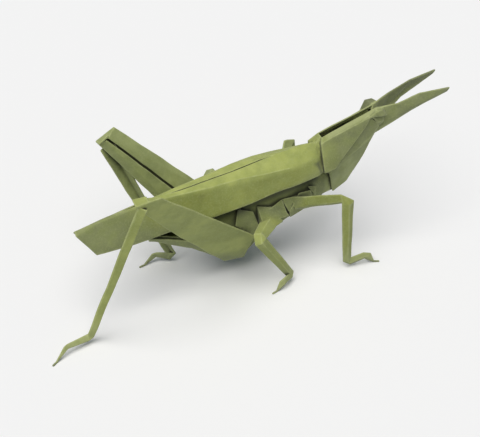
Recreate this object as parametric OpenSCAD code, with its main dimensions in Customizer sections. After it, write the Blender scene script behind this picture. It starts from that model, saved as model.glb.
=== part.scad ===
// Slant-faced grasshopper folded from one sheet of paper.
// The head looks along +X, the left side is +Y and the feet stand on z = 0.

/* [Sheet] */
// Thickness of the folded layers on the body
sheet_t = 0.5; // [0.35:0.05:0.7]
// Thickness of the folded layers on the legs and antennae
limb_t = 0.6; // [0.4:0.05:0.9]
// Spacing of two layers where one laps over the other
lap = 0.85; // [0.7:0.05:1.2]
// Length of the flat underside of each claw
sole_len = 1.6; // [1:0.1:2.4]

/* [Back and wings] */
// Distance from the middle of the part back to the tail's tip
tail_x = 52.5; // [48:0.5:58]
// Height of the tail's tip
tail_z = 30.6; // [28:0.2:33]
// How far the tail's end slants forward to its lower corner
tail_slant = 5.3; // [2:0.1:8]
// Depth of the tail's side panel
tail_depth = 8.4; // [6:0.1:11]
// Half width of the tail's lower edge
tail_w = 2.6; // [1.5:0.1:4]
// Height of the back at the waist
waist_z = 34.1; // [33:0.1:37]
// Height of the back at the widest part of the wings
wing_z = 35.6; // [34:0.1:38]
// Half width of the flat roof of the wings
roof_w = 3.8; // [3:0.1:4.8]
// How far the roof falls from the middle to its crease
roof_drop = 0.5; // [0.2:0.1:1.5]
// Half width of the wings at their lower edge
skirt_w = 6.3; // [5.4:0.1:7.5]
// Height of the wings' lower edge at their widest part
skirt_z = 27.4; // [26:0.1:29]
// Width of the slits along the ridge
slit_gap = 0.24; // [0.15:0.05:0.6]

/* [Head] */
// Distance from the middle of the part to the collar
collar_x = 26; // [24:0.2:28]
// Height of the head's top edges at the collar
collar_z = 39.2; // [38:0.1:40.5]
// Half width of the slit between the head's top edges
head_slit = 1.3; // [0.8:0.1:2]
// Depth of the fold that closes the slit from below
slit_depth = 4.6; // [3:0.1:5.4]
// Half width of the head's top strip at its shoulder crease
shoulder_w = 2.5; // [2.1:0.1:3]
// How far the right half of the head's top strip falls to its shoulder crease
right_fall = 1; // [0.6:0.1:1.6]
// How far the left half of the head's top strip falls
left_fall = 2.6; // [1:0.1:3]
// How far the left shoulder of the head reaches back over the collar
left_reach = 2.2; // [0.4:0.1:2.8]
// How far the collar's pleat is tucked in
collar_tuck = 1.2; // [0.4:0.1:1.6]
// Length of the head from the collar to the brow
head_len = 18.4; // [15:0.2:22]
// Height of the brow
brow_z = 44.3; // [42:0.1:47]
// Half width of the head at the cheeks
cheek_w = 4.7; // [3.9:0.1:5.5]
// Half width of the head at the temples
temple_w = 3.1; // [2.6:0.1:4]
// Height of the snout
snout_z = 34.8; // [33:0.1:37]
// Height of the chin
chin_z = 19.6; // [18:0.1:22]
// How far an eye stands out from the temple
eye_out = 0.8; // [0.3:0.1:1.5]

/* [Antennae] */
// Length of an antenna beyond the brow
antenna_len = 23.8; // [18:0.2:28]
// Height of an antenna's tip above the brow
antenna_rise = 3; // [0:0.1:5]
// Sideways reach of an antenna's tip
antenna_w = 5; // [3:0.1:7]
// How much shorter the right antenna is
right_shorter = 1; // [0:0.1:2]
// How far the crease of an antenna stands out
antenna_crease = 0.6; // [0.2:0.1:1.4]

/* [Belly] */
// Half width of the belly between the legs
belly_w = 5; // [4:0.1:6]
// Height of the lowest fold of the belly
belly_z = 6.8; // [5:0.2:10]
// Height of the chest
chest_z = 18; // [16:0.2:20]
// Half width of the slot under the wings
slot_w = 3.2; // [2.8:0.1:4.2]

/* [Hind legs] */
// Width of a hind femur at the knee
knee_w = 6.2; // [5:0.1:7]
// Depth of the folded hollow of a hind femur
femur_hollow = 1.9; // [1:0.1:2.6]
// How far the curl at a hind knee reaches inward
knee_curl = 2.4; // [1.6:0.1:3]
// How far a hind femur leans out at its top edge, in degrees
femur_lean = 26; // [0:1:40]
// How far the lower edge of a hind femur sags in the middle
femur_sag = 0.7; // [0:0.1:1.2]
// How far the end of the right femur slants at the knee
right_slant = 3.8; // [1:0.1:4.5]
// How far the end of the left femur slants at the knee
left_slant = 1.7; // [1:0.1:4.5]
// Width of the right hind tibia at the knee
right_tibia_w = 3.6; // [2.2:0.1:4.6]
// Width of the left hind tibia at the knee
left_tibia_w = 4.4; // [2.2:0.1:4.8]
// Width of a hind tibia at the ankle
ankle_w = 2.2; // [1.4:0.1:2.6]
// Right hind knee
right_knee = [-36.6, -17.5, 48.2]; // [-60:0.1:60]
// Left hind knee
left_knee = [-35, 17.6, 47.8]; // [-60:0.1:60]
// Right hind ankle
right_ankle = [-54.8, -13, 1.8]; // [-60:0.1:60]
// Left hind ankle
left_ankle = [-18.4, 9.4, 1.8]; // [-60:0.1:60]
// Bend of the right hind foot
right_instep = [-62.9, -14.7, 2.4]; // [-70:0.1:70]
// Bend of the left hind foot
left_instep = [-23.4, 11.8, 2.6]; // [-70:0.1:70]
// Right hind toe on the ground
right_toe = [-68.3, -18]; // [-70:0.1:70]
// Left hind toe on the ground
left_toe = [-28.8, 10.8]; // [-70:0.1:70]

/* [Walking legs] */
// Width of a walking leg at the body
thigh_w = 6; // [4.6:0.1:7]
// Width of a walking leg along its femur
femur_w = 4.4; // [3.4:0.1:5.2]
// Width of a walking leg at the knee
shin_w = 3.4; // [2.6:0.1:4.2]
// Width of a walking leg at the ankle
foot_w = 2.2; // [1.4:0.1:2.8]
// Knee of the right front leg, measured out from the middle
right_front_knee = [27.8, 15.8, 26.2]; // [0:0.1:40]
// Knee of the left front leg
left_front_knee = [24.2, 15.8, 28.5]; // [0:0.1:40]
// Ankle of a front leg
front_ankle = [28.2, 16.2, 1.6]; // [0:0.1:40]
// Bend of a front foot
front_instep = [34.5, 17, 3]; // [0:0.1:40]
// Toe of a front leg
front_toe = [38, 18.6]; // [0:0.1:45]
// Knee of the right middle leg, measured out from the middle
right_middle_knee = [-2, 15.8, 21.6]; // [-10:0.1:40]
// Knee of the left middle leg
left_middle_knee = [-4, 15.6, 26]; // [-10:0.1:40]
// Ankle of a middle leg
middle_ankle = [10.2, 14.2, 1.8]; // [-10:0.1:40]
// Bend of a middle foot
middle_instep = [6.4, 16.6, 2.6]; // [-10:0.1:40]
// Toe of a middle leg
middle_toe = [2.2, 17.8]; // [-10:0.1:45]

/* [Hidden] */
paper = "#8d9554";
up = [0, 0, 1];
bead_sides = 6;
// Height of a bead's centre when its lowest corners touch the ground.
bead_low = limb_t / 2 * cos(30);

// Vector helpers.
function unit(v) = v / norm(v);
function mix(a, b, t) = a + (b - a) * t;
function flip(p, side) = [p.x, side * p.y, p.z];
function flips(points, side) = [for (p = points) flip(p, side)];
function square_to(v, axis) = unit(v - axis * (v * axis));
function span(points, first, last) = [for (i = [first:last]) points[i]];

// A flat panel of the sheet with rounded edges, from its corners.
module panel(corners, t = sheet_t) {
    hull()
        for (p = corners)
            translate(p) sphere(t / 2, $fn = bead_sides);
}

// A strip of the sheet between two edges with the same number of fold points.
module strip(one, other, t = sheet_t) {
    for (i = [0:len(one) - 2])
        panel([one[i], one[i + 1], other[i + 1], other[i]], t);
}

// Cross sections of a creased limb along a path: edge, crease, edge.
limb_crease = 0.3;
limb_bend = 0.4;
function limb_section(p, axis, outward, w, depth = limb_crease) =
    let (out = square_to(outward, axis), across = cross(axis, out))
    [p - across * w / 2, p + out * w * depth, p + across * w / 2];
function limb_sections(path, widths, outward, depth) = [
    for (i = [0:len(path) - 2])
        let (axis = unit(path[i + 1] - path[i]), last = len(path) - 2)
        for (end = [0, 1])
            let (
                setback = (i + end == 0 || i + end == last + 1) ? 0 : widths[i + end] * limb_bend,
                p = path[i + end] + axis * setback * (1 - 2 * end)
            )
            limb_section(p, axis, outward, widths[i + end], depth)
];

// A claw lies flat on the ground, from its heel to its tip.
function claw_tip(toe) = [toe.x, toe.y, bead_low];
function claw_heel(instep, toe) =
    claw_tip(toe) - unit(claw_tip(toe) - [instep.x, instep.y, bead_low]) * sole_len;

// A limb folded from a strip, with a lengthwise crease on its outer side. Its first open_parts are
// grooved behind, and the rest is pressed shut.
module limb(path, widths, outward, depth = limb_crease, open_parts = 0) {
    sections = limb_sections(path, widths, outward, depth);
    for (i = [0:len(sections) - 2])
        if (i < open_parts)
            for (half = [0, 1])
                panel([
                    sections[i][half], sections[i][half + 1],
                    sections[i + 1][half + 1], sections[i + 1][half]
                ], limb_t);
        else
            panel(concat(sections[i], sections[i + 1]), limb_t);
}

// Shell of the back and wings, from the tail to the collar. Each station of the back has its place
// along the body, the ridge's height and half slit, and the roof's half width and fall beside it.
slit_y = (sheet_t + slit_gap) / 2;
back = [
    [-tail_x, tail_z, 0, 0.9, 0.9],
    [-tail_x + 8.5, tail_z + 1.3, 0, 0.5, 0.3],
    [-33, waist_z - 0.7, slit_y, 0.8, 0.3],
    [-26, waist_z, 0, 1, 0.3],
    [-19.5, waist_z + 0.2, slit_y, 1.8, 0.1],
    [-10.5, wing_z - 0.6, slit_y, roof_w - 0.9, roof_drop],
    [-2, wing_z, slit_y, roof_w, roof_drop],
    [6, wing_z + 1, slit_y, roof_w + 0.9, roof_drop + 1.2],
    [13.5, wing_z + 1.6, 0, roof_w + 1, roof_drop + 2.2],
    [collar_x - 2.8, wing_z + 2, 0, roof_w - 0.4, roof_drop + 2.9],
    [collar_x - 1, wing_z + 1.5, 0.2, roof_w - 1.1, roof_drop + 2.9]
];
// Lower edge at the same stations: place along the body, half width and height.
hem = [
    [-tail_x + tail_slant, tail_w, tail_z - tail_depth],
    [-42, tail_w + 0.2, tail_z - tail_depth],
    [-36.5, tail_w + 0.4, tail_z - tail_depth],
    [-31, 3.5, 22.8],
    [-24.3, 4.2, 24.2],
    [-11, skirt_w - 0.3, skirt_z - 1.3],
    [0, skirt_w, skirt_z],
    [8.3, skirt_w - 0.1, skirt_z + 1.1],
    [16.5, skirt_w - 0.4, skirt_z + 1.4],
    [collar_x - 2.6, skirt_w - 0.7, skirt_z + 2],
    [collar_x - 1, skirt_w - 1.6, skirt_z + 2.1]
];
ridge_line = [for (s = back) [s[0], s[2], s[1]]];
crease_line = [for (s = back) [s[0], s[3], s[1] - s[4]]];
front_end = len(back) - 1;

module shell(side) {
    strip(flips(ridge_line, side), flips(crease_line, side));
    strip(flips(crease_line, side), flips(hem, side));
}

// Head: a top strip and a side panel on each side of a slit, the face band lapped under the side
// panel and the jaw lapped under the face band.
keel_w = 0.2;
brow_x = collar_x + head_len;
nape = [collar_x + 0.3, head_slit, collar_z];
brow = [brow_x + 0.2, head_slit * 0.8, brow_z + 0.2];
neck = [collar_x - 0.4, skirt_w - 0.95, skirt_z + 2];
function fall(side) = side < 0 ? right_fall : left_fall;
function reach(side) = side < 0 ? 0.3 : left_reach;
function shoulder_rear(side) = [collar_x - reach(side), shoulder_w, collar_z - fall(side)];
function shoulder_front(side) = [brow_x - 2.4, shoulder_w - 0.3, brow_z - fall(side) + 0.1];
function temple(side) = [brow_x - 2.9, temple_w, brow_z - fall(side)];
function side_hem(side) = [
    neck,
    [collar_x + 3.5, cheek_w, skirt_z + 2.1],
    [collar_x + 5.4, cheek_w - 0.3, 32],
    [collar_x + 10.2, temple_w + 0.7, 36.7],
    [brow_x - 4.7, temple_w + 0.3, brow_z - 3.8],
    temple(side)
];
snout = [brow_x + 0.7, keel_w, snout_z];
face_front = [brow_x + 0.4, temple_w - 0.4, snout_z + 4.3];
face_corner = [brow_x - 1.2, temple_w - 1.2, brow_z - 2.1];
face_hem = [
    [collar_x + 3.1, cheek_w - 0.5, skirt_z + 1.6],
    [collar_x + 6.5, cheek_w - 1, 30.7],
    [collar_x + 10.8, temple_w, 32.3],
    [brow_x - 2.9, temple_w - 1.1, snout_z - 1]
];
face_mid = [brow_x - 3.2, keel_w, snout_z - 7.3];
chin = [brow_x - 8.6, keel_w, chin_z];
throat = [collar_x + 4.5, 1.8, chin_z - 1];
jaw_rear = [collar_x + 2, cheek_w - 0.8, skirt_z + 0.1];
// The fold that closes the slit from below.
slit_floor = [
    [collar_x + 1.6, shoulder_w + 0.2, collar_z - slit_depth],
    [collar_x + 1.6, 0, collar_z - slit_depth],
    [brow_x, 0, brow_z - slit_depth * 0.75],
    [brow_x - 2, temple_w - 0.7, brow_z - slit_depth * 0.75]
];
// A layer runs on under the edge of the layer above it, and joins that layer's inner face.
tuck_share = 0.14;
function under(points) = [for (p = points) p - [0, lap, 0]];
function tucked(points, above) = [for (p = points) mix(p, above, tuck_share) - [0, lap * 0.4, 0]];

module head(side) {
    module fold(corners) panel(flips(corners, side));
    rear = shoulder_rear(side);
    front = shoulder_front(side);
    edge = side_hem(side);
    fold([nape, brow, front, rear]);
    for (i = [0:len(edge) - 2])
        fold([rear, edge[i], edge[i + 1]]);
    fold([rear, front, temple(side)]);
    face_edge = span(edge, 1, 5);
    face_top = under(face_edge);
    strip(flips(tucked(face_edge, rear), side), flips(face_top, side));
    strip(flips(span(face_top, 0, 3), side), flips(face_hem, side));
    fold([face_top[3], face_top[4], face_corner, face_front]);
    fold([face_top[3], face_front, snout, face_hem[3]]);
    jaw_top = under(face_hem);
    strip(flips(tucked(face_hem, temple(side)), side), flips(jaw_top, side));
    fold([jaw_top[3], snout, face_mid, jaw_top[2]]);
    fold([jaw_top[2], face_mid, chin]);
    fold([jaw_top[2], chin, throat, jaw_top[1]]);
    fold([jaw_top[1], throat, jaw_rear]);
    fold([jaw_rear, jaw_top[0], jaw_top[1]]);
    fold([jaw_rear, neck - [0, lap, 0], face_top[0]]);
    fold(slit_floor);
}

// Collar: the pleat that is tucked in between the shell and the head.
shell_front = [ridge_line[front_end], crease_line[front_end], hem[front_end]];
function head_rear(side) =
    [nape, shoulder_rear(side), mix(shoulder_rear(side), neck, 0.45), neck];

module collar(side) {
    rear = head_rear(side);
    pleat = [for (p = rear) p + [0.3, -collar_tuck, -collar_tuck / 2]];
    strip(flips(shell_front, side), flips([pleat[0], pleat[2], pleat[3]], side));
    strip(flips(rear, side), flips(pleat, side));
}

// Eyes: rounded folds beside the brow, each with a small curl below it.
function eye_crest(side) = [
    temple(side),
    [brow_x - 1.2, temple_w + 0.4, brow_z + 0.4],
    [brow_x + 0.9, temple_w + 0.1, brow_z + 0.5],
    [brow_x + 2.2, temple_w - 0.6, brow_z - 0.6]
];
function eye_low(side) = [
    temple(side),
    [brow_x - 1, temple_w + eye_out * 0.6, brow_z - 0.8],
    [brow_x + 0.6, temple_w + eye_out, brow_z - 1],
    [brow_x + 2.4, temple_w + eye_out * 0.5, brow_z - 1.4]
];
eye_curl = [
    [brow_x - 1.2, temple_w - 0.2, brow_z - 2.1], [brow_x + 2, temple_w - 0.3, brow_z - 2.2],
    [brow_x + 1.8, temple_w - 0.1, brow_z - 3.9], face_front
];

module eye(side) {
    module fold(corners) panel(flips(corners, side));
    crest = eye_crest(side);
    fold([brow, shoulder_front(side), temple(side), crest[1]]);
    fold([brow, crest[1], crest[2]]);
    fold([brow, crest[2], crest[3], antenna_root]);
    strip(flips(crest, side), flips(eye_low(side), side));
    fold(concat(eye_curl, [[brow_x + 0.4, temple_w + eye_out * 0.3, brow_z - 3.4]]));
    fold([eye_curl[0], eye_curl[1], brow - [0, 0, 1], temple(side) - [0, lap * 0.4, 0]]);
}

// Antennae: blades with a lengthwise crease.
left_tip = [brow_x + antenna_len, antenna_w, brow_z + antenna_rise];
right_tip = left_tip - [right_shorter, 0, 0];
antenna_root = [brow_x + 1.8, 1.6, brow_z + 0.3];

module antenna(side) {
    tip = side < 0 ? right_tip : left_tip;
    top = [
        antenna_root, [brow_x + 6.4, 3, brow_z + 0.9],
        mix(antenna_root, tip, 0.56) + [0, 0.2, 1.1], tip
    ];
    low = [
        snout, [brow_x + 5.5, 2.4, snout_z + 4],
        mix(snout, tip, 0.46) + [0, 1.3, 1.8], tip - [0.7, 0, 0.8]
    ];
    crease = [
        for (i = [0:len(low) - 1])
            mix(low[i], top[i], 0.3) + [0, i < len(low) - 1 ? antenna_crease : 0, 0]
    ];
    strip(flips(top, side), flips(crease, side), limb_t);
    strip(flips(low, side), flips(crease, side), limb_t);
    panel(flips([antenna_root, brow, snout, [brow_x - 1, 0, brow_z - slit_depth / 2]], side));
}

// Belly: a folded trough below the shell, with a slot under the wings. Each row has its place along
// the body, the rim's half width and height, the coxa fold's half width and height, and the keel.
trough = [
    [-30.6, 2.6, 21.8, 2, 21.2, 20.8],
    [-24.4, 2.9, 19.7, 1.7, 17.3, 16.8],
    [-17.3, 3.5, 16.9, 2.4, 13.9, 13.2],
    [-7.6, slot_w - 0.1, 24.4, belly_w - 0.4, belly_z + 0.6, belly_z],
    [-1.8, slot_w, 25, belly_w + 0.2, belly_z + 1, belly_z + 0.6],
    [8, slot_w, 26, belly_w - 0.5, chest_z - 3, chest_z - 4],
    [15, slot_w, 26.2, belly_w - 1.1, chest_z - 2.2, chest_z - 2.8],
    [collar_x - 3, slot_w - 0.1, 26.6, belly_w - 2, chest_z + 1.4, chest_z + 0.2],
    [collar_x + 4.6, slot_w - 1.5, 27, 1.3, chin_z - 0.6, chin_z - 1.2]
];
rim_line = [for (r = trough) [r[0], r[1], r[2]]];
coxa_line = [for (r = trough) [r[0], r[3], r[4]]];
keel_line = [for (r = trough) [r[0], 0, r[5]]];
slot_rows = [3, 8];
slot_rim = span(rim_line, slot_rows[0], slot_rows[1]);
// The slot's inner wall reaches up to the roof, and stays lower where the shell narrows to the collar.
slot_falls = [0.4, 0.4, 0.4, 0.4, 2.2, 3];
slot_roof = [
    for (i = [0:len(slot_rim) - 1])
        [slot_rim[i].x, slot_rim[i].y - 0.4, wing_z - roof_drop - slot_falls[i]]
];
// A second layer stands inside the rear rim.
rear_rim = span(rim_line, 0, 2);
inner_rim = [for (p = rear_rim) p + [0, -lap, 0.5]];
inner_foot = [for (p = rear_rim) p - [0, lap, 1.2]];

module belly(side) {
    strip(flips(inner_rim, side), flips(inner_foot, side));
    panel(flips([inner_rim[2], inner_foot[2], rear_rim[2]], side));
    strip(flips(slot_roof, side), flips(slot_rim, side));
    strip(flips(rim_line, side), flips(coxa_line, side));
    strip(flips(coxa_line, side), flips(keel_line, side));
}

// Plates of the thorax: layers over the legs' roots, each held at a point behind it.
hind_plate = [[-3, 4.6, 24.8], [-4.1, 5.4, 19.9], [1.7, 5.8, 13.8], [3.4, 5.8, 17.1], [1.7, 4.7, 22.3]];
middle_plate = [[6.6, 5.2, 21.1], [4, 5.8, 17.3], [10.2, 5.2, 15.2], [13.4, 5, 16.8], [11.4, 4.7, 23.3]];
front_plate = [[17.2, 4.8, 24], [13.9, 5.4, 18.8], [14.5, 4.8, 16.2], [21.8, 4.4, 18.6], [21.4, 4.4, 23.4]];
throat_plate = [[20.7, 4.4, 25], [23.2, 4.2, 24.2], [22.9, 4.4, 21.6]];
gusset = [[11.9, 4.3, 23.1], [16.6, 4.5, 23.1], [13.9, 5.2, 18.5]];
plate_roots = [[-0.4, 3.9, 19], [9, 3.9, 18.6], [17.6, 3.7, 20], [21.8, 3.2, 23.6], [14.4, 3.7, 20.4]];
plates = [hind_plate, middle_plate, front_plate, throat_plate, gusset];
// A ridge folded over the root of the middle leg.
coxa_ridge = [[6.8, 4.8, 22.1], [4.1, 7, 19.3]];
coxa_rear = [[3.6, 4.6, 23.4], [3.7, 5.4, 17.5]];
coxa_front = [[11.7, 4.4, 20.4], [13.2, 5.6, 17.7], [6.2, 7.4, 18.8]];

module thorax(side) {
    for (i = [0:len(plates) - 1])
        panel(flips(concat(plates[i], [plate_roots[i]]), side));
    for (flank = [coxa_rear, coxa_front])
        panel(flips(concat(coxa_ridge, flank), side));
}

// Hind leg: folded femur blade, knee cap, tibia and foot.
hip_top = [0.2, 8.8, 16.6];
hip_low = [-7.6, 4.6, 6.9];
hip_end = [-1.8, 5.5, 7];
hip_root = [-1, 4.6, 12];
shin_depth = 0.45;

module hind_leg(side, knee, slant, tibia_w, ankle, instep, toe) {
    top = flip(hip_top, side);
    low = flip(hip_low, side);
    end = flip(hip_end, side);
    base = mix(top, low, 0.5);
    axis = unit(base - knee);
    upright = square_to(up, axis);
    sideways = cross(axis, upright) * side;
    across = upright * cos(femur_lean) - sideways * sin(femur_lean);
    inward = sideways * cos(femur_lean) + upright * sin(femur_lean);
    knee_top = knee + across * knee_w / 2 + axis * slant / 2;
    knee_low = knee - across * knee_w / 2 - axis * slant / 2;
    seam_knee = knee + inward * femur_hollow - across * knee_w * 0.1 + axis * slant * 0.3;
    seam_base = base + inward * femur_hollow * 0.5;
    lip = across * limb_t;
    sag = mix(knee_low, low, 0.5) - across * femur_sag;
    panel([knee_top, knee_low, sag, low, end, top], limb_t);
    panel([knee_top, top, seam_base + lip, seam_knee + lip], limb_t);
    panel([knee_low, sag, low, seam_base - lip, seam_knee - lip], limb_t);
    panel([knee_top, knee_low, seam_knee + lip], limb_t);
    panel([knee_low, knee, knee + inward * knee_curl * 0.8, knee_low + inward * knee_curl], limb_t);
    panel([top, end, flip(hip_root, side)], limb_t);
    shin_top = mix(knee_low, knee, 0.2) + axis * (tibia_w - slant * 0.35) + inward * 0.4;
    heel = claw_heel(instep, toe);
    shin_widths = [tibia_w, ankle_w, ankle_w * 0.55, 0];
    limb([shin_top, ankle, instep, heel], shin_widths, -sideways, shin_depth, open_parts = 1);
    panel([heel, claw_tip(toe)], limb_t);
}

// Walking leg: creased femur, tibia and foot.
module walking_leg(side, hip, knee, ankle, instep, toe, femur_out) {
    heel = claw_heel(instep, toe);
    femur_end = knee - unit(knee - hip) * shin_w * knee_bend;
    shin_start = knee + unit(ankle - knee) * shin_w * knee_bend;
    femur = flips([hip, mix(hip, knee, thigh_share), femur_end], side);
    shin = flips([shin_start, ankle, instep, heel], side);
    femur_widths = [thigh_w, femur_w, shin_w];
    shin_widths = [shin_w, foot_w, foot_w * 0.9, 0];
    femur_facing = flip(femur_out, side);
    shin_facing = [0, side, 0];
    limb(femur, femur_widths, femur_facing);
    limb(shin, shin_widths, shin_facing);
    // The fold of the knee.
    panel(concat(
        limb_section(femur[2], unit(femur[2] - femur[1]), femur_facing, shin_w),
        limb_section(shin[0], unit(shin[1] - shin[0]), shin_facing, shin_w)
    ), limb_t);
    panel(flips([heel, claw_tip(toe)], side), limb_t);
}

// Hips of the walking legs, the share of a femur that narrows from its hip, and the length of a
// knee's fold as a share of the shin's width.
thigh_share = 0.36;
knee_bend = 0.45;
front_hip = [16.6, 4.4, 20.4];
middle_hip = [8.4, 4.8, 17.6];
front_out = [0, 1, 0];
middle_out = [0, 0.2, 1];

module folded_sheet() {
    color(paper)
    union() {
        for (side = [-1, 1]) {
            shell(side);
            collar(side);
            head(side);
            eye(side);
            antenna(side);
            belly(side);
            thorax(side);
            front_knee = side < 0 ? right_front_knee : left_front_knee;
            middle_knee = side < 0 ? right_middle_knee : left_middle_knee;
            walking_leg(side, front_hip, front_knee, front_ankle, front_instep, front_toe, front_out);
            walking_leg(side, middle_hip, middle_knee, middle_ankle, middle_instep, middle_toe, middle_out);
        }
        hind_leg(-1, right_knee, right_slant, right_tibia_w, right_ankle, right_instep, right_toe);
        hind_leg(1, left_knee, left_slant, left_tibia_w, left_ankle, left_instep, left_toe);
    }
}

folded_sheet();
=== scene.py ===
"""Looks of the folded paper grasshopper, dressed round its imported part."""

import logging
import math
from dataclasses import dataclass
from enum import Enum

import bmesh
import bpy
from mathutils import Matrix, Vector
from mathutils.bvhtree import BVHTree
from mathutils.kdtree import KDTree


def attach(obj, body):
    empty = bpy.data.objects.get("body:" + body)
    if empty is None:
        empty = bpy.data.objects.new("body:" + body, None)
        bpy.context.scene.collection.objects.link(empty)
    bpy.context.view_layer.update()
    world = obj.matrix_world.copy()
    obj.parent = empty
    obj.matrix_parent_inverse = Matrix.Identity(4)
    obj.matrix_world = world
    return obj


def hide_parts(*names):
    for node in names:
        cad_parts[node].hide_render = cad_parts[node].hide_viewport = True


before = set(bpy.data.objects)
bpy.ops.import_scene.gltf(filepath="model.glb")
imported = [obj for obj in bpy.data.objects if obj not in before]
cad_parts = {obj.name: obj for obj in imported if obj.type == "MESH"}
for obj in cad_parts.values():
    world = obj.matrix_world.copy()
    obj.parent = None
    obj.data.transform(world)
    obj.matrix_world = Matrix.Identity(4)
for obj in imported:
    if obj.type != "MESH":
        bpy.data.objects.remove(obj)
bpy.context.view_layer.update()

BODY = "root"
SHEET_NODE = "folded_sheet"
MM = 0.001
NOISE_MIDDLE = 0.5
LOG = logging.getLogger("grasshopper")

Colour = tuple[float, float, float]
Place = tuple[float, float, float]
Line = tuple[float, float]
Limits = tuple[float, float]
Socket = bpy.types.NodeSocket
Outputs = bpy.types.NodeOutputs


class SocketKind(Enum):
    """Kinds of socket on the node groups of this scene."""

    NUMBER = "NodeSocketFloat"
    VECTOR = "NodeSocketVector"
    GEOMETRY = "NodeSocketGeometry"
    MATERIAL = "NodeSocketMaterial"


class SheetMark(Enum):
    """Attributes on the sheet's points that its material reads."""

    FOLD = "fold"
    RECESS = "recess"


class Bench:
    """A node tree with short calls to add and link nodes."""

    def __init__(self, tree: bpy.types.NodeTree) -> None:
        """Keeps the tree that nodes are added to."""
        self.tree = tree

    def add(
        self, kind: str, inputs: dict[str | int, object] | None = None, **settings: object
    ) -> bpy.types.Node:
        """Adds one node.

        Args:
            kind: the node's type.
            inputs: values or source sockets, by input name or number.
            settings: the node's own properties.

        Returns:
            The new node.
        """
        node = self.tree.nodes.new(kind)
        for name, value in settings.items():
            setattr(node, name, value)
        for name, value in (inputs or {}).items():
            if isinstance(value, Socket):
                self.tree.links.new(value, node.inputs[name])
            else:
                node.inputs[name].default_value = value
        return node

    def sum(self, operation: str, *values: float | Socket) -> Socket:
        """Adds a Math node and gives its result."""
        return self.add("ShaderNodeMath", dict(enumerate(values)), operation=operation).outputs[0]

    def vector(self, operation: str, *values: Place | Socket) -> Socket:
        """Adds a Vector Math node and gives its result."""
        return self.add("ShaderNodeVectorMath", dict(enumerate(values)), operation=operation).outputs[0]

    def scaled(self, vector: Socket, share: Socket) -> Socket:
        """Scales a vector by a number's socket."""
        return self.add("ShaderNodeVectorMath", {0: vector, "Scale": share}, operation="SCALE").outputs[0]

    def remap(
        self, value: Socket, low: float | Socket, high: float | Socket, start: float = 0.0, end: float = 1.0
    ) -> Socket:
        """Turns low to high into start to end, smoothly, and holds the value there."""
        inputs = {"Value": value, "From Min": low, "From Max": high, "To Min": start, "To Max": end}
        return self.add("ShaderNodeMapRange", inputs, interpolation_type="SMOOTHSTEP").outputs["Result"]

    def mix(self, share: Socket, one: Colour | Socket, other: Colour | Socket) -> Socket:
        """Mixes two colours, by the share of the other one."""
        first, second = (c if isinstance(c, Socket) else (*c, 1.0) for c in (one, other))
        return self.add("ShaderNodeMix", {0: share, 6: first, 7: second}, data_type="RGBA").outputs[2]

    def mark(self, mark: SheetMark) -> Socket:
        """Reads one of the sheet's attributes."""
        return self.add("ShaderNodeAttribute", attribute_name=mark.value).outputs["Fac"]

    def noise(self, vector: Socket, size: float | Socket, detail: float, seed: float) -> Socket:
        """Adds a smooth noise whose features have the size given.

        Args:
            vector: where the noise is read.
            size: the features' size in metres, or a socket that gives their scale.
            detail: octaves of finer noise.
            seed: which noise of the family is used.

        Returns:
            The noise's value socket.
        """
        scale = size if isinstance(size, Socket) else 1.0 / size
        inputs = {"Vector": vector, "Scale": scale, "Detail": detail, "W": seed}
        return self.add("ShaderNodeTexNoise", inputs, noise_dimensions="4D").outputs["Fac"]


@dataclass(frozen=True)
class PaperTexture:
    """Shader group of what every dyed paper shows: clouds of dye, fibres and grain."""

    name: str = "paper_texture"
    cloud_seed: float = 3.0
    cloud_detail: float = 3.0
    grain_seed: float = 5.0
    grain_detail: float = 4.0
    fibre_detail: float = 1.0
    fibre_width: float = 0.035
    fibre_tilt: tuple[float, float] = (0.4, 0.7)
    fibre_lays: tuple[tuple[float, Place], ...] = ((0.5, (1.0, 0.35, 0.8)), (2.1, (0.4, 1.0, 0.7)))

    def group(self) -> bpy.types.NodeTree:
        """Builds the group.

        Returns:
            The node group, with its sizes as named inputs.
        """
        tree = bpy.data.node_groups.new(self.name, "ShaderNodeTree")
        face = tree.interface
        face.new_socket("Vector", in_out="INPUT", socket_type=SocketKind.VECTOR.value)
        for name in ("Cloud Scale", "Fibre Scale", "Grain Scale"):
            face.new_socket(name, in_out="INPUT", socket_type=SocketKind.NUMBER.value)
        for name in ("Cloud", "Fibre", "Grain"):
            face.new_socket(name, in_out="OUTPUT", socket_type=SocketKind.NUMBER.value)
        bench = Bench(tree)
        given = bench.add("NodeGroupInput").outputs
        put = bench.add("NodeGroupOutput")
        cloud = bench.noise(given["Vector"], given["Cloud Scale"], self.cloud_detail, self.cloud_seed)
        fibre = self._fibres(bench, given["Vector"], given["Fibre Scale"])
        grain = bench.noise(given["Vector"], given["Grain Scale"], self.grain_detail, self.grain_seed)
        for name, socket in (("Cloud", cloud), ("Fibre", fibre), ("Grain", grain)):
            tree.links.new(socket, put.inputs[name])
        return tree

    def _fibres(self, bench: Bench, vector: Socket, scale: Socket) -> Socket:
        """Draws thin wandering lines, where a smooth noise passes its middle value.

        Args:
            bench: the group's tree.
            vector: where the fibres are read.
            scale: scale of the noise that they follow.

        Returns:
            A mask, 1 on a fibre.
        """
        masks = []
        for turn, stretch in self.fibre_lays:
            laid = bench.add(
                "ShaderNodeMapping",
                {"Vector": vector, "Rotation": (*self.fibre_tilt, turn), "Scale": stretch},
            )
            wave = bench.noise(laid.outputs["Vector"], scale, self.fibre_detail, self.cloud_seed + turn)
            away = bench.sum("ABSOLUTE", bench.sum("SUBTRACT", wave, NOISE_MIDDLE))
            masks.append(bench.remap(away, 0.0, self.fibre_width, 1.0, 0.0))
        return bench.sum("MAXIMUM", *masks)


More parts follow.
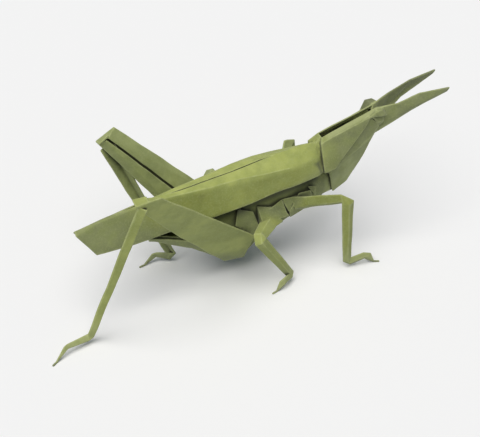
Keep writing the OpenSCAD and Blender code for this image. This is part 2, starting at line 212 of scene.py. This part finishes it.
@dataclass(frozen=True)
class PaperTone:
    """One tone of the paper, with its darker clouds. Most tones are dyes; some stand for painted shade and
    some for painted light.
    """

    light: Colour
    dark: Colour

    def colour(self, bench: Bench, cloud: Socket) -> Socket:
        """Mixes the shade's light and dark by the share of light clouds."""
        return bench.mix(cloud, self.dark, self.light)


@dataclass(frozen=True)
class Fade:
    """A mask that is 0 up to a start, and grows from there to its most at an end."""

    start: float
    end: float
    most: float = 1.0

    def mask(self, bench: Bench, value: Socket) -> Socket:
        """Adds the mask of a value."""
        return bench.remap(value, self.start, self.end, 0.0, self.most)


@dataclass(frozen=True)
class PaperFinish:
    """Matt olive paper with cloudy dye, fine fibres and pale wear on the folds, with painted highlights on
    the folds, painted light on the jaw and in the head's slit, and painted shade on the wing sides, head,
    tail, claws, far eye and antenna, in recesses and under the wings.
    """

    name: str = "olive_paper"

    # Dyes of the panels and colours laid over them, among them painted shade and painted light
    roof: PaperTone = PaperTone((0.395, 0.435, 0.125), (0.315, 0.355, 0.092))
    # Painted shade: the wing sides are darker than the roof, where less light falls.
    wing_side_shade: PaperTone = PaperTone((0.302, 0.335, 0.085), (0.236, 0.265, 0.064))
    # The head and tail: a greyer tone of their own, set darker as painted shade on their sides.
    ends: PaperTone = PaperTone((0.262, 0.290, 0.121), (0.193, 0.215, 0.091))
    # Painted light: the jaw is lighter than the head's side.
    jaw: PaperTone = PaperTone((0.370, 0.408, 0.168), (0.272, 0.303, 0.126))
    right_hind: PaperTone = PaperTone((0.356, 0.394, 0.115), (0.268, 0.302, 0.084))
    right_fore: PaperTone = PaperTone((0.292, 0.322, 0.080), (0.220, 0.248, 0.060))
    left_legs: PaperTone = PaperTone((0.350, 0.390, 0.153), (0.262, 0.298, 0.116))
    foot: Colour = (0.37, 0.40, 0.22)
    # Painted shade on the claws, darker where they turn down to the floor.
    claw: Colour = (0.105, 0.11, 0.075)
    tip: Colour = (0.19, 0.20, 0.125)
    mottle: Colour = (0.245, 0.285, 0.085)
    # Pale colour of wear on grain, fibres and folds, and of the painted highlights on the folds and painted
    # light in the head's slit.
    worn_and_lit: Colour = (0.48, 0.52, 0.24)
    # Painted shade in recesses and laps.
    recess_painted_shade: Colour = (0.060, 0.064, 0.034)
    # Painted shade under the wings.
    under_wing_shade: Colour = (0.075, 0.080, 0.052)
    # Painted shade on the far eye and the far antenna.
    far_side_shade: Colour = (0.110, 0.120, 0.068)

    # Where the dyes and the painted shade and light lie, in the part's frame
    wing_middle: Place = (-2.0 * MM, 0.0, 33.0 * MM)
    wing_reach: Place = (31.0 * MM, 8.5 * MM, 11.0 * MM)
    wing_border: Fade = Fade(0.9, 1.25)
    border_unevenness: float = 0.6
    # Below this height the wings take their sides' painted shade.
    side_shade_below: Fade = Fade(34.6 * MM, 33.0 * MM)
    legs_beyond: Fade = Fade(5.5 * MM, 8.0 * MM)
    fore_beyond: Fade = Fade(4.0 * MM, 8.0 * MM)
    feet_below: Fade = Fade(11.0 * MM, 1.0 * MM, 0.5)
    # Height below which the claws take painted shade.
    claws_below: Fade = Fade(1.9 * MM, 0.2 * MM, 0.75)
    tips_beyond: Fade = Fade(55.0 * MM, 68.5 * MM, 0.75)
    # Bounds of the jaw's painted light, and of the head's slit.
    jaw_line: Line = (0.5, 14.5 * MM)
    jaw_below: Fade = Fade(0.3 * MM, -0.7 * MM)
    jaw_beyond: Fade = Fade(26.5 * MM, 28.5 * MM)
    slit_within: Fade = Fade(3.0 * MM, 2.0 * MM)
    slit_over_jaw: Fade = Fade(3.0 * MM, 4.0 * MM)
    # Share of painted light in the head's slit.
    slit_painted_light: float = 0.4
    # Where the far eye's painted shade lies.
    eye_middle: Place = (44.0 * MM, 3.0 * MM, 44.0 * MM)
    eye_reach: Place = (3.4 * MM, 1.7 * MM, 2.6 * MM)
    eye_border: Fade = Fade(1.15, 0.8, 0.7)
    # Where the far antenna's painted shade lies.
    antennae_beyond: Fade = Fade(45.5 * MM, 48.0 * MM, 0.35)
    left_beyond: Fade = Fade(0.2 * MM, 1.0 * MM)
    # Where the painted shade under the wings lies.
    hem_line: Line = (0.1, 27.2 * MM)
    wing_slope: float = 0.3
    inside_within: Fade = Fade(5.7 * MM, 5.2 * MM, 0.85)
    inside_below: Fade = Fade(33.6 * MM, 32.6 * MM)
    inside_over_hem: Fade = Fade(-6.0 * MM, -2.5 * MM)
    slot_middle: float = 5.0 * MM
    slot_half: Fade = Fade(21.0 * MM, 18.0 * MM)

    # Clouds, spots, grain, wear, painted fold highlights and painted recess shade
    clouds: Fade = Fade(0.32, 0.68)
    cloud_size: float = 7.0 * MM
    fibre_size: float = 2.4 * MM
    fibre_tint: float = 0.06
    grain_size: float = 0.5 * MM
    grain_tint: Fade = Fade(0.45, 0.75, 0.22)
    mottle_size: float = 3.2 * MM
    mottle_detail: float = 3.0
    mottle_seed: float = 12.0
    mottle_spots: Fade = Fade(0.42, 0.66, 0.45)
    # Share of pale wear and painted highlight on the folds.
    rubbed_and_lit: Fade = Fade(0.5, 1.0, 0.6)
    patch_size: float = 1.6 * MM
    patch_detail: float = 2.0
    patch_seed: float = 8.0
    patch_limits: Limits = (0.35, 0.75)
    patch_least: float = 0.35
    # Share of painted shade in recesses.
    recess_shade_share: Fade = Fade(0.17, 0.62, 0.9)

    # Gloss and relief
    rough_limits: Limits = (0.3, 0.7)
    roughness: Limits = (0.72, 0.9)
    fibre_share: float = 0.15
    dent_size: float = 4.5 * MM
    dent_detail: float = 2.0
    dent_seed: float = 21.0
    dent_share: float = 7.0
    bump_depth: float = 0.06 * MM
    bump_strength: float = 0.5
    specular: float = 0.28
    sheen: float = 0.12

    def material(self) -> bpy.types.Material:
        """Builds the material.

        Returns:
            A material that reads Object coordinates and the fold and recess attributes.
        """
        material = bpy.data.materials.new(self.name)
        material.use_nodes = True
        bench = Bench(material.node_tree)
        place = bench.add("ShaderNodeTexCoord").outputs["Object"]
        texture = bench.add(
            "ShaderNodeGroup", {"Vector": place, **self._scales()}, node_tree=PaperTexture().group()
        ).outputs
        shader = material.node_tree.nodes["Principled BSDF"]
        links = material.node_tree.links
        links.new(self._colour(bench, texture, place), shader.inputs["Base Color"])
        rough = bench.remap(texture["Grain"], *self.rough_limits, *self.roughness)
        links.new(rough, shader.inputs["Roughness"])
        links.new(self._bump(bench, texture, place), shader.inputs["Normal"])
        shader.inputs["Specular IOR Level"].default_value = self.specular
        shader.inputs["Sheen Weight"].default_value = self.sheen
        return material

    def _scales(self) -> dict[str, float]:
        """Gives the texture group's inputs for this paper."""
        return {
            "Cloud Scale": 1.0 / self.cloud_size,
            "Fibre Scale": 1.0 / self.fibre_size,
            "Grain Scale": 1.0 / self.grain_size,
        }

    def _bump(self, bench: Bench, texture: Outputs, place: Socket) -> Socket:
        """Raises the grain and fibres, and presses soft dents.

        Args:
            bench: the material's tree.
            texture: outputs of the texture group.
            place: Object coordinates.

        Returns:
            The normal's socket.
        """
        fibres = bench.sum("MULTIPLY", texture["Fibre"], self.fibre_share)
        dents = bench.noise(place, self.dent_size, self.dent_detail, self.dent_seed)
        fine = bench.sum("ADD", texture["Grain"], fibres)
        height = bench.sum("MULTIPLY_ADD", dents, self.dent_share, fine)
        inputs = {"Strength": self.bump_strength, "Distance": self.bump_depth, "Height": height}
        return bench.add("ShaderNodeBump", inputs).outputs["Normal"]

    def _colour(self, bench: Bench, texture: Outputs, place: Socket) -> Socket:
        """Lays the dyes and the wing sides' painted shade by place, and over them spots, grain, wear,
        painted highlights on the folds, painted light in the head's slit and painted shade on the far eye
        and antenna, in recesses and under the wings.

        Args:
            bench: the material's tree.
            texture: outputs of the texture group.
            place: Object coordinates.

        Returns:
            The base colour's socket.
        """
        where = bench.add("ShaderNodeSeparateXYZ", {0: place}).outputs
        cloud = self.clouds.mask(bench, texture["Cloud"])
        # Painted shade: the wing sides are darker than the roof.
        side = self.side_shade_below.mask(bench, where["Z"])
        wing = bench.mix(side, self.roof.colour(bench, cloud), self.wing_side_shade.colour(bench, cloud))
        limb = self._limb_colour(bench, where, cloud)
        colour = bench.mix(self._off_wings(bench, place, texture["Cloud"]), wing, limb)
        spots = bench.noise(place, self.mottle_size, self.mottle_detail, self.mottle_seed)
        slit = self._head_slit(bench, where)
        eye_away = self._away(bench, place, self.eye_middle, self.eye_reach)
        antennae = self.antennae_beyond.mask(bench, where["X"])
        left_antenna = bench.sum("MULTIPLY", antennae, self.left_beyond.mask(bench, where["Y"]))
        # Spots, grain and fibres are the paper's own tone.
        layers = (
            (self.mottle_spots.mask(bench, spots), self.mottle),
            (self.grain_tint.mask(bench, texture["Grain"]), self.worn_and_lit),
            (bench.sum("MULTIPLY", texture["Fibre"], self.fibre_tint), self.worn_and_lit),
            # Pale wear and painted highlights on the folds.
            (self._fold_wear_and_highlight(bench, place), self.worn_and_lit),
            # Painted light in the head's slit.
            (bench.sum("MULTIPLY", slit, self.slit_painted_light), self.worn_and_lit),
            # Painted shade on the far eye and far antenna.
            (self.eye_border.mask(bench, eye_away), self.far_side_shade),
            (left_antenna, self.far_side_shade),
            # Painted shade in recesses and laps.
            (self._recess_shade_mask(bench, slit), self.recess_painted_shade),
            # Painted shade under the wings.
            (self._under_wing_painted_shade(bench, where), self.under_wing_shade),
        )
        return self._layered(bench, colour, layers)

    @staticmethod
    def _layered(bench: Bench, colour: Socket, layers: tuple[tuple[Socket, Colour], ...]) -> Socket:
        """Lays plain colours over a base colour, each by its share, from below.

        Args:
            bench: the material's tree.
            colour: the base colour.
            layers: each layer's share and its colour.

        Returns:
            The colour's socket.
        """
        for share, tone in layers:
            colour = bench.mix(share, colour, tone)
        return colour

    def _fold_wear_and_highlight(self, bench: Bench, place: Socket) -> Socket:
        """Masks the outward folds, made pale in patches, as wear and as painted highlights.

        Args:
            bench: the material's tree.
            place: Object coordinates.

        Returns:
            A mask, 0 away from the folds.
        """
        fold = bench.mark(SheetMark.FOLD)
        patches = bench.noise(place, self.patch_size, self.patch_detail, self.patch_seed)
        uneven = bench.remap(patches, *self.patch_limits, self.patch_least, 1.0)
        return bench.sum("MULTIPLY", self.rubbed_and_lit.mask(bench, fold), uneven)

    def _head_slit(self, bench: Bench, where: Outputs) -> Socket:
        """Masks the slit on the head and its edges.

        Args:
            bench: the material's tree.
            where: Object coordinates, apart.

        Returns:
            A mask, 0 away from the slit.
        """
        within = self.slit_within.mask(bench, bench.sum("ABSOLUTE", where["Y"]))
        over = self.slit_over_jaw.mask(bench, self._over_line(bench, where, self.jaw_line))
        on_head = self.jaw_beyond.mask(bench, where["X"])
        return bench.sum("MULTIPLY", bench.sum("MULTIPLY", within, over), on_head)

    def _recess_shade_mask(self, bench: Bench, slit: Socket) -> Socket:
        """Masks the painted shade in the pockets and laps, apart from the slit on the head."""
        dark = self.recess_shade_share.mask(bench, bench.mark(SheetMark.RECESS))
        return bench.sum("MULTIPLY", dark, bench.sum("SUBTRACT", 1.0, slit))

    def _limb_colour(self, bench: Bench, where: Outputs, cloud: Socket) -> Socket:
        """Colours the head and tail, partly with painted shade, the jaw with painted light, the legs, the
        feet, the claws with painted shade and the antenna tips.

        Args:
            bench: the material's tree.
            where: Object coordinates, apart.
            cloud: share of the lighter dye.

        Returns:
            The colour's socket.
        """
        hind, fore = self.right_hind.colour(bench, cloud), self.right_fore.colour(bench, cloud)
        right = bench.mix(self.fore_beyond.mask(bench, where["X"]), hind, fore)
        left = self.left_legs.colour(bench, cloud)
        leg = bench.mix(self.legs_beyond.mask(bench, where["Y"]), right, left)
        under_line = self.jaw_below.mask(bench, self._over_line(bench, where, self.jaw_line))
        on_jaw = bench.sum("MULTIPLY", under_line, self.jaw_beyond.mask(bench, where["X"]))
        # Painted light on the jaw, and partly painted shade on the head and tail.
        end = bench.mix(on_jaw, self.ends.colour(bench, cloud), self.jaw.colour(bench, cloud))
        beside = self.legs_beyond.mask(bench, bench.sum("ABSOLUTE", where["Y"]))
        layers = (
            (self.feet_below.mask(bench, where["Z"]), self.foot),
            # Painted shade on the claws near the floor.
            (self.claws_below.mask(bench, where["Z"]), self.claw),
            (self.tips_beyond.mask(bench, where["X"]), self.tip),
        )
        return self._layered(bench, bench.mix(beside, end, leg), layers)

    def _off_wings(self, bench: Bench, place: Socket, cloud: Socket) -> Socket:
        """Masks the tail, head and limbs, with an uneven border to the wings.

        Args:
            bench: the material's tree.
            place: Object coordinates.
            cloud: noise that the border follows.

        Returns:
            A mask, 0 on the wings.
        """
        away = self._away(bench, place, self.wing_middle, self.wing_reach)
        shift = bench.sum("MULTIPLY", bench.sum("SUBTRACT", cloud, NOISE_MIDDLE), self.border_unevenness)
        return self.wing_border.mask(bench, bench.sum("ADD", away, shift))

    @staticmethod
    def _away(bench: Bench, place: Socket, middle: Place, reach: Place) -> Socket:
        """Gives the distance from a middle, as a share of the reach along each axis."""
        share = bench.vector("DIVIDE", bench.vector("SUBTRACT", place, middle), reach)
        return bench.add("ShaderNodeVectorMath", {0: share}, operation="LENGTH").outputs["Value"]

    @staticmethod
    def _over_line(bench: Bench, where: Outputs, line: Line) -> Socket:
        """Gives the height over a line along the body, of a rise and a height at x 0."""
        return bench.sum("SUBTRACT", where["Z"], bench.sum("MULTIPLY_ADD", where["X"], *line))

    def _under_wing_painted_shade(self, bench: Bench, where: Outputs) -> Socket:
        """Masks the faces under the wings, where shade is painted into the colour.

        Args:
            bench: the material's tree.
            where: Object coordinates, apart.

        Returns:
            A mask, 0 on every outer face.
        """
        over_hem = self._over_line(bench, where, self.hem_line)
        out = bench.sum("MULTIPLY_ADD", over_hem, self.wing_slope, bench.sum("ABSOLUTE", where["Y"]))
        along = bench.sum("ABSOLUTE", bench.sum("SUBTRACT", where["X"], self.slot_middle))
        mask = self.inside_within.mask(bench, out)
        limits = (
            (self.inside_below, where["Z"]),
            (self.inside_over_hem, over_hem),
            (self.slot_half, along),
        )
        for fade, value in limits:
            mask = bench.sum("MULTIPLY", mask, fade.mask(bench, value))
        return mask


@dataclass(frozen=True)
class Crumple:
    """Geometry Nodes tree that gives flat panels the soft waves of paper folded by hand."""

    name: str = "hand_folded_waves"
    broad_wave: float = 0.6 * MM
    broad_size: float = 11.0 * MM
    fine_wave: float = 0.12 * MM
    fine_size: float = 2.8 * MM
    flat_below: float = 1.2 * MM
    free_above: float = 5.0 * MM
    free_within: float = 58.0 * MM
    held_beyond: float = 67.5 * MM
    detail: float = 1.0
    seed: float = 5.0

    def sizes(self) -> dict[str, float]:
        """Gives the tree's named inputs and their values."""
        return {
            "Broad Wave": self.broad_wave,
            "Broad Scale": 1.0 / self.broad_size,
            "Fine Wave": self.fine_wave,
            "Fine Scale": 1.0 / self.fine_size,
            "Flat Below": self.flat_below,
            "Free Above": self.free_above,
            "Free Within": self.free_within,
            "Held Beyond": self.held_beyond,
            "Seed": self.seed,
        }

    def tree(self) -> bpy.types.NodeTree:
        """Builds the tree.

        Returns:
            A geometry node group that moves points and sets the material.
        """
        tree = bpy.data.node_groups.new(self.name, "GeometryNodeTree")
        face = tree.interface
        face.new_socket("Geometry", in_out="INPUT", socket_type=SocketKind.GEOMETRY.value)
        for name in self.sizes():
            face.new_socket(name, in_out="INPUT", socket_type=SocketKind.NUMBER.value)
        face.new_socket("Paper", in_out="INPUT", socket_type=SocketKind.MATERIAL.value)
        face.new_socket("Geometry", in_out="OUTPUT", socket_type=SocketKind.GEOMETRY.value)
        bench = Bench(tree)
        given = bench.add("NodeGroupInput").outputs
        put = bench.add("NodeGroupOutput")
        place = bench.add("GeometryNodeInputPosition").outputs[0]
        broad = self._wave(bench, place, given["Broad Scale"], given["Broad Wave"], given["Seed"])
        fine = self._wave(bench, place, given["Fine Scale"], given["Fine Wave"], given["Seed"])
        both = bench.vector("ADD", broad, fine)
        where = bench.add("ShaderNodeSeparateXYZ", {0: place}).outputs
        out = bench.sum("ABSOLUTE", where["X"])
        raised = bench.remap(where["Z"], given["Flat Below"], given["Free Above"])
        inner = bench.remap(out, given["Free Within"], given["Held Beyond"], 1.0, 0.0)
        free = bench.sum("MULTIPLY", raised, inner)
        shift = bench.scaled(both, free)
        moved = bench.add("GeometryNodeSetPosition", {"Geometry": given["Geometry"], "Offset": shift})
        whole = bench.add("GeometryNodeRealizeInstances", {"Geometry": moved.outputs[0]})
        dressed = bench.add(
            "GeometryNodeSetMaterial", {"Geometry": whole.outputs[0], "Material": given["Paper"]}
        )
        tree.links.new(dressed.outputs[0], put.inputs[0])
        return tree

    def _wave(self, bench: Bench, place: Socket, scale: Socket, reach: Socket, seed: Socket) -> Socket:
        """Makes a smooth shift that changes with the place.

        Args:
            bench: the tree.
            place: position socket.
            scale: the waves' scale.
            reach: how far a point moves at most.
            seed: which noise of the family is used.

        Returns:
            The shift's vector socket.
        """
        noise = bench.add(
            "ShaderNodeTexNoise",
            {"Vector": place, "Scale": scale, "Detail": self.detail, "W": seed},
            noise_dimensions="4D",
        )
        centred = bench.vector("SUBTRACT", noise.outputs["Color"], (NOISE_MIDDLE,) * 3)
        return bench.scaled(centred, reach)

    def bake(self, blank: bpy.types.Object, paper: bpy.types.Material, name: str) -> bpy.types.Object:
        """Runs the tree on a blank and keeps the result as a plain mesh.

        Args:
            blank: the object to crumple, which is removed.
            paper: the material that the tree sets.
            name: the finished piece's name.

        Returns:
            The finished piece, with no modifier.
        """
        modifier = blank.modifiers.new(self.name, "NODES")
        modifier.node_group = self.tree()
        values = {**self.sizes(), "Paper": paper}
        for item in modifier.node_group.interface.items_tree:
            if item.in_out == "INPUT" and item.name in values:
                modifier[item.identifier] = values[item.name]
        shown = blank.evaluated_get(bpy.context.evaluated_depsgraph_get())
        mesh = bpy.data.meshes.new_from_object(shown)
        blank.modifiers.clear()
        bpy.data.objects.remove(blank)
        mesh.name = name
        piece = bpy.data.objects.new(name, mesh)
        bpy.context.scene.collection.objects.link(piece)
        return piece


@dataclass
class FoldedSheet:
    """The one sheet that the whole grasshopper is folded from."""

    finish: PaperFinish
    crumple: Crumple
    name: str = "folded_paper"
    merge_within: float = 0.002 * MM
    flat_within: float = math.radians(0.4)
    cell: float = 1.2 * MM
    cut_within: float = 0.02 * MM
    fold_from: float = math.radians(28.0)
    fold_step: float = 0.25 * MM
    fold_reach: float = 0.34 * MM
    recess_rays: int = 56
    recess_lift: float = 0.03 * MM
    recess_reach: float = 8.0 * MM
    smooth_under: float = math.radians(24.0)

    def build(self) -> bpy.types.Object:
        """Makes the sheet's looks from its CAD solid.

        Returns:
            The finished piece, riding on the part's body.
        """
        blank = bpy.data.objects.new(f"{self.name}_blank", bpy.data.meshes.new(f"{self.name}_blank"))
        bpy.context.scene.collection.objects.link(blank)
        work = self._merged_copy()
        folds = self._fold_points(work)
        self._cut_cells(work)
        self._mark_folds(work, folds)
        self._mark_recesses(work)
        work.to_mesh(blank.data)
        work.free()
        piece = self.crumple.bake(blank, self.finish.material(), self.name)
        piece.data.shade_smooth()
        piece.data.set_sharp_from_angle(angle=self.smooth_under)
        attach(piece, BODY)
        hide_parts(SHEET_NODE)
        return piece

    def _merged_copy(self) -> bmesh.types.BMesh:
        """Copies the CAD solid and joins its loose triangles.

        Returns:
            A closed mesh, with each flat panel cut into few triangles.
        """
        work = bmesh.new()
        work.from_mesh(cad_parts[SHEET_NODE].data)
        bmesh.ops.remove_doubles(work, verts=work.verts, dist=self.merge_within)
        bmesh.ops.dissolve_limit(
            work,
            angle_limit=self.flat_within,
            verts=work.verts,
            edges=work.edges,
            use_dissolve_boundaries=False,
        )
        bmesh.ops.triangulate(work, faces=work.faces)
        return work

    def _fold_points(self, work: bmesh.types.BMesh) -> KDTree:
        """Gathers points along the outward folds.

        Args:
            work: the merged solid.

        Returns:
            A tree of points, a short step apart.
        """
        points: list[Vector] = []
        for edge in work.edges:
            if edge.calc_face_angle_signed(0.0) < self.fold_from:
                continue
            start, end = (v.co for v in edge.verts)
            steps = max(1, math.ceil(edge.calc_length() / self.fold_step))
            points.extend(start.lerp(end, i / steps) for i in range(steps + 1))
        tree = KDTree(len(points))
        for number, point in enumerate(points):
            tree.insert(point, number)
        tree.balance()
        return tree

    def _cut_cells(self, work: bmesh.types.BMesh) -> None:
        """Cuts the panels into small cells, so that every panel can bend.

        Args:
            work: the merged solid, which is changed.
        """
        for axis in range(3):
            places = [v.co[axis] for v in work.verts]
            low, high = min(places), max(places)
            count = math.ceil((high - low) / self.cell)
            across = Vector([float(i == axis) for i in range(3)])
            for number in range(1, count):
                bmesh.ops.bisect_plane(
                    work,
                    geom=[*work.verts, *work.edges, *work.faces],
                    dist=self.cut_within,
                    plane_co=across * (low + (high - low) * number / count),
                    plane_no=across,
                )
        bmesh.ops.triangulate(work, faces=[f for f in work.faces if len(f.verts) > 3])

    def _mark_folds(self, work: bmesh.types.BMesh, folds: KDTree) -> None:
        """Writes how close each point lies to an outward fold.

        Args:
            work: the refined solid, which gets the attribute.
            folds: points along the folds.
        """
        layer = work.verts.layers.float.new(SheetMark.FOLD.value)
        for vert in work.verts:
            away = folds.find(vert.co)[2] / self.fold_reach
            vert[layer] = math.exp(-away * away)

    def _mark_recesses(self, work: bmesh.types.BMesh) -> None:
        """Writes how far each point lies within a pocket or beside a lap, for the painted shade that the
        material lays there.

        Args:
            work: the refined solid, which gets the attribute.
        """
        layer = work.verts.layers.float.new(SheetMark.RECESS.value)
        tree = BVHTree.FromBMesh(work)
        rays = self._even_rays()
        work.normal_update()
        for vert in work.verts:
            start = vert.co + vert.normal * self.recess_lift
            closed = whole = 0.0
            for ray in rays:
                facing = ray.dot(vert.normal)
                if facing <= 0.0:
                    continue
                whole += facing
                away = tree.ray_cast(start, ray, self.recess_reach)[3]
                if away is not None:
                    closed += facing * (1.0 - away / self.recess_reach)
            vert[layer] = closed / whole if whole else 0.0

    def _even_rays(self) -> list[Vector]:
        """Spreads directions evenly all round, along a spiral.

        Returns:
            The directions, of length 1.
        """
        golden_angle = math.pi * (3.0 - math.sqrt(5.0))
        rays = []
        for number in range(self.recess_rays):
            height = 1.0 - (2.0 * number + 1.0) / self.recess_rays
            out = math.sqrt(1.0 - height * height)
            turn = golden_angle * number
            rays.append(Vector((out * math.cos(turn), out * math.sin(turn), height)))
        return rays


@dataclass(frozen=True)
class Studio:
    """Plain pale floor, an even sky and one wide soft light from above."""

    pale: float = 0.896
    floor_radius: float = 6.0
    floor_sides: int = 64
    floor_seen: float = 0.88
    floor_bounce: Colour = (0.70, 0.71, 0.75)
    sky: float = 0.16
    sky_tint: Colour = (0.80, 0.93, 1.15)
    key_tint: Colour = (1.024, 1.0, 0.96)
    key_strength: float = 2.915
    key_spread: float = math.radians(58.0)
    key_lean: float = math.radians(-12.0)
    key_turn: float = math.radians(-16.0)

    def build(self) -> None:
        """Makes the floor, the key light and the world."""
        self._floor()
        self._key()
        self._world()

    def _floor(self) -> None:
        """Lays a round pale floor under the feet."""
        mesh = bpy.data.meshes.new("floor")
        shape = bmesh.new()
        bmesh.ops.create_circle(shape, cap_ends=True, radius=self.floor_radius, segments=self.floor_sides)
        shape.to_mesh(mesh)
        shape.free()
        floor = bpy.data.objects.new("floor", mesh)
        bpy.context.scene.collection.objects.link(floor)
        material = bpy.data.materials.new("pale_floor")
        material.use_nodes = True
        shader = material.node_tree.nodes["Principled BSDF"]
        bench = Bench(material.node_tree)
        tone = bench.mix(self._seen(bench), self.floor_bounce, (self.floor_seen,) * 3)
        material.node_tree.links.new(tone, shader.inputs["Base Color"])
        shader.inputs["Roughness"].default_value = 1.0
        shader.inputs["Specular IOR Level"].default_value = 0.0
        mesh.materials.append(material)

    def _key(self) -> None:
        """Hangs one wide soft light overhead, a little towards the camera and the tail."""
        lamp = bpy.data.lights.new("key", "SUN")
        lamp.energy = self.key_strength
        lamp.color = self.key_tint
        lamp.angle = self.key_spread
        key = bpy.data.objects.new("key", lamp)
        key.rotation_euler = (-self.key_lean, self.key_turn, 0.0)
        bpy.context.scene.collection.objects.link(key)

    @staticmethod
    def _seen(bench: Bench) -> Socket:
        """Tells what the camera sees, straight or in a gloss, from what only lights the paper.

        Args:
            bench: the tree of the floor or the world.

        Returns:
            A mask, 1 on a ray that shows.
        """
        rays = bench.add("ShaderNodeLightPath").outputs
        seen = bench.sum("MAXIMUM", rays["Is Camera Ray"], rays["Is Glossy Ray"])
        return bench.sum("MAXIMUM", seen, rays["Is Transmission Ray"])

    def _world(self) -> None:
        """Makes an even sky that the camera sees as the pale background."""
        world = bpy.data.worlds.new("studio")
        bpy.context.scene.world = world
        world.use_nodes = True
        bench = Bench(world.node_tree)
        seen = self._seen(bench)
        light = bench.add("ShaderNodeBackground", {"Color": (*self.sky_tint, 1.0), "Strength": self.sky})
        shown = bench.add("ShaderNodeBackground", {"Color": (1.0, 1.0, 1.0, 1.0), "Strength": self.pale})
        mixed = bench.add("ShaderNodeMixShader", {0: seen, 1: light.outputs[0], 2: shown.outputs[0]})
        output = world.node_tree.nodes["World Output"]
        world.node_tree.links.new(mixed.outputs[0], output.inputs["Surface"])


@dataclass(frozen=True)
class PhotoCamera:
    """Camera at the photograph's viewing angle."""

    azimuth: float = math.radians(-26.0)
    elevation: float = math.radians(39.0)
    distance: float = 0.52
    lens: float = 130.0
    target: Place = (-0.29 * MM, -0.33 * MM, 17.31 * MM)
    clip_distances: Limits = (0.02, 100.0)

    def build(self) -> bpy.types.Object:
        """Makes the scene's camera.

        Returns:
            The camera object.
        """
        back = Vector((
            math.sin(self.azimuth) * math.cos(self.elevation),
            -math.cos(self.azimuth) * math.cos(self.elevation),
            math.sin(self.elevation),
        ))
        data = bpy.data.cameras.new("photo_camera")
        data.lens = self.lens
        data.sensor_fit = "HORIZONTAL"
        camera = bpy.data.objects.new("photo_camera", data)
        camera.location = Vector(self.target) + back * self.distance
        camera.rotation_euler = (-back).to_track_quat("-Z", "Y").to_euler()
        data.clip_start, data.clip_end = (self.distance * share for share in self.clip_distances)
        bpy.context.scene.collection.objects.link(camera)
        bpy.context.scene.camera = camera
        return camera


def main() -> None:
    """Builds the camera, the sheet and the studio in order, and reports the piece."""
    logging.basicConfig(level=logging.INFO)
    bpy.context.scene.view_settings.view_transform = "Standard"
    PhotoCamera().build()
    sheet = FoldedSheet(PaperFinish(), Crumple()).build()
    LOG.info("%s has %d faces", sheet.name, len(sheet.data.polygons))
    Studio().build()


if __name__ == "__main__":
    main()
